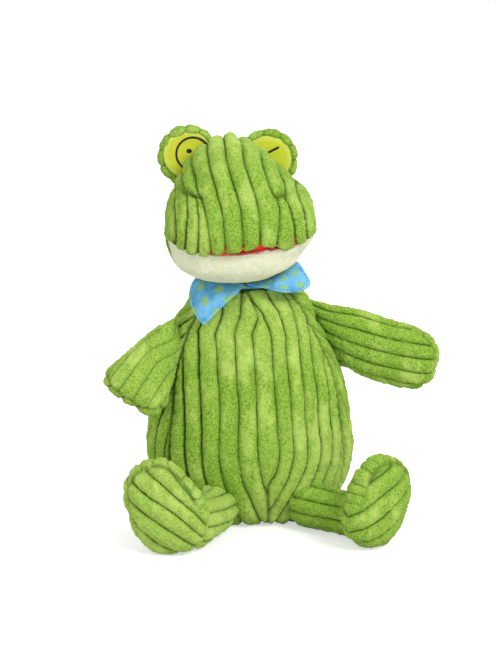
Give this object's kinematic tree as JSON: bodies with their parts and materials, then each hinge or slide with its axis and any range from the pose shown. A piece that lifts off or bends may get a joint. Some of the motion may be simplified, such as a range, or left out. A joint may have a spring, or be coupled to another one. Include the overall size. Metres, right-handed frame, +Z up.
{
  "type": "plush frog",
  "caption": "Sitting plush frog in wide-wale pile with a turning head, a soft opening mouth, sewn floppy limbs and a short neckerchief.",
  "frame": {"origin": "middle of the flat seat, on the surface the frog sits on", "axes": "+Z up, the frog faces -Y, its own left side is at +X"},
  "size_m": [0.1919, 0.1362, 0.2253],
  "materials": {
    "pile_green": "wide-wale plush pile",
    "pile_cream": "short cream plush pile",
    "felt_yellow": "matte felt",
    "lining_red": "soft woven lining",
    "thread_black": "embroidery thread",
    "cotton_blue": "woven cotton with green dots",
    "fibre_white": "loose polyester fibre",
    "bag_linen": "plain woven bag"
  },
  "bodies": {
    "torso": {"torso_cover": "pile_green", "torso_filling": "fibre_white", "seat_pellet_bag": "bag_linen", "neckerchief_band": "cotton_blue"},
    "neck": {"neck": "pile_green"},
    "head": {"head_cover": "pile_green", "head_filling": "fibre_white", "underside_cover": "pile_green", "underside_filling": "fibre_white", "mouth_lining_upper": "lining_red", "eye_pod_right": "pile_green", "eye_felt_right": "felt_yellow", "eye_ring_right": "thread_black", "eye_pupil_right": "thread_black", "eye_pod_left": "pile_green", "eye_felt_left": "felt_yellow", "eye_dash_left": "thread_black"},
    "chin": {"chin_cover": "pile_cream", "chin_filling": "fibre_white", "mouth_lining_lower": "lining_red"},
    "arm_left": {"arm_cover_left": "pile_green", "arm_filling_left": "fibre_white"},
    "arm_right": {"arm_cover_right": "pile_green", "arm_filling_right": "fibre_white"},
    "leg_left": {"leg_cover_left": "pile_green", "leg_filling_left": "fibre_white"},
    "leg_right": {"leg_cover_right": "pile_green", "leg_filling_right": "fibre_white"},
    "foot_left": {"foot_cover_left": "pile_green", "foot_filling_left": "fibre_white"},
    "foot_right": {"foot_cover_right": "pile_green", "foot_filling_right": "fibre_white"},
    "point_left": {"neckerchief_point_left": "cotton_blue"},
    "point_right": {"neckerchief_point_right": "cotton_blue"}
  },
  "joints": [
    {"name": "neck_turn", "type": "hinge", "parent": "torso", "child": "neck", "pos_m": [-0.004, 0, 0.1373], "axis": [0, 0, 1], "range_deg": [-30, 30], "stiffness_Nm_per_rad": 0.06},
    {"name": "head_nod", "type": "hinge", "parent": "neck", "child": "head", "pos_m": [-0.004, 0, 0.15], "axis": [0.9976, 0.0698, 0], "range_deg": [-20, 4], "stiffness_Nm_per_rad": 0.12},
    {"name": "mouth_open", "type": "hinge", "parent": "head", "child": "chin", "pos_m": [-0.00281, -0.01696, 0.147], "axis": [0.9976, 0.0698, 0], "range_deg": [0, 12], "stiffness_Nm_per_rad": 0.04},
    {"name": "shoulder_left", "type": "hinge", "parent": "torso", "child": "arm_left", "pos_m": [0.04302, 0, 0.107], "axis": [0.4226, 0, -0.9063], "range_deg": [-20, 35], "stiffness_Nm_per_rad": 0.03},
    {"name": "shoulder_right", "type": "hinge", "parent": "torso", "child": "arm_right", "pos_m": [-0.04273, -0.01089, 0.112], "axis": [0.3971, 0.1445, 0.9063], "range_deg": [-35, 20], "stiffness_Nm_per_rad": 0.03},
    {"name": "hip_left", "type": "hinge", "parent": "torso", "child": "leg_left", "pos_m": [0.0327, -0.0327, 0.014], "axis": [0, 0, 1], "range_deg": [-15, 15], "stiffness_Nm_per_rad": 0.06},
    {"name": "hip_right", "type": "hinge", "parent": "torso", "child": "leg_right", "pos_m": [-0.02, -0.038, 0.014], "axis": [0, 0, 1], "range_deg": [-15, 15], "stiffness_Nm_per_rad": 0.06},
    {"name": "ankle_left", "type": "hinge", "parent": "leg_left", "child": "foot_left", "pos_m": [0.0616, -0.054, 0.014], "axis": [0, 0, 1], "range_deg": [-15, 15], "stiffness_Nm_per_rad": 0.04},
    {"name": "ankle_right", "type": "hinge", "parent": "leg_right", "child": "foot_right", "pos_m": [-0.029, -0.066, 0.014], "axis": [0, 0, 1], "range_deg": [-15, 15], "stiffness_Nm_per_rad": 0.04},
    {"name": "point_lift_left", "type": "hinge", "parent": "torso", "child": "point_left", "pos_m": [0.01444, -0.01441, 0.1399], "axis": [-0.6157, -0.788, 0], "range_deg": [0, 12], "stiffness_Nm_per_rad": 0.005},
    {"name": "point_lift_right", "type": "hinge", "parent": "torso", "child": "point_right", "pos_m": [-0.01966, -0.01739, 0.1399], "axis": [-0.7431, 0.6691, 0], "range_deg": [0, 12], "stiffness_Nm_per_rad": 0.005}
  ]
}
